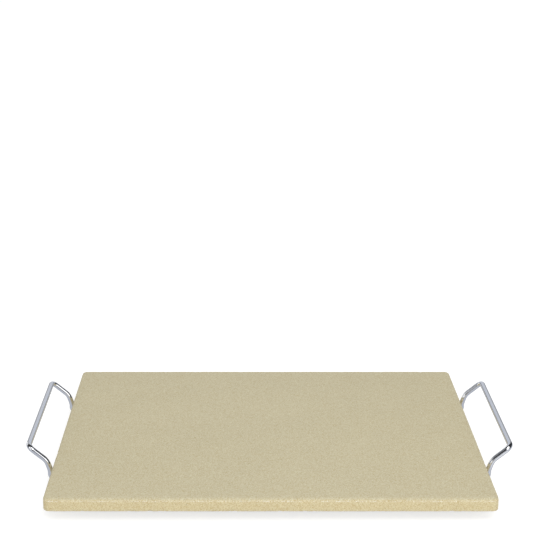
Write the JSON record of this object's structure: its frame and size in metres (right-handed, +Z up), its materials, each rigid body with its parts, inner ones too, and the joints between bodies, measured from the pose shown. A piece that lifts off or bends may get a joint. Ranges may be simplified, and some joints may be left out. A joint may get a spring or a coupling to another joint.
{
  "type": "pizza stone",
  "caption": "Rectangular baking stone with rounded edges, lying loose on a chromed wire rack with a raised carrying handle at each end.",
  "frame": {"origin": "on the table under the middle of the stone, at the bottom of the rack's cross wires", "axes": "+X along the stone from handle to handle, +Y to the rear, +Z up"},
  "size_m": [0.428, 0.3, 0.0395],
  "materials": {
    "stone": "unglazed, fine grained, matte",
    "rack_wire": "bright chrome plate"
  },
  "bodies": {
    "rack": {"left_handle_wire": "rack_wire", "right_handle_wire": "rack_wire", "left_cross_wire": "rack_wire", "centre_cross_wire": "rack_wire", "right_cross_wire": "rack_wire"},
    "stone": {"stone": "stone"}
  },
  "joints": [
    {"name": "stone_lift", "type": "slide", "parent": "rack", "child": "stone", "axis": [0, 0, 1], "range_m": [0, 0.05]}
  ]
}
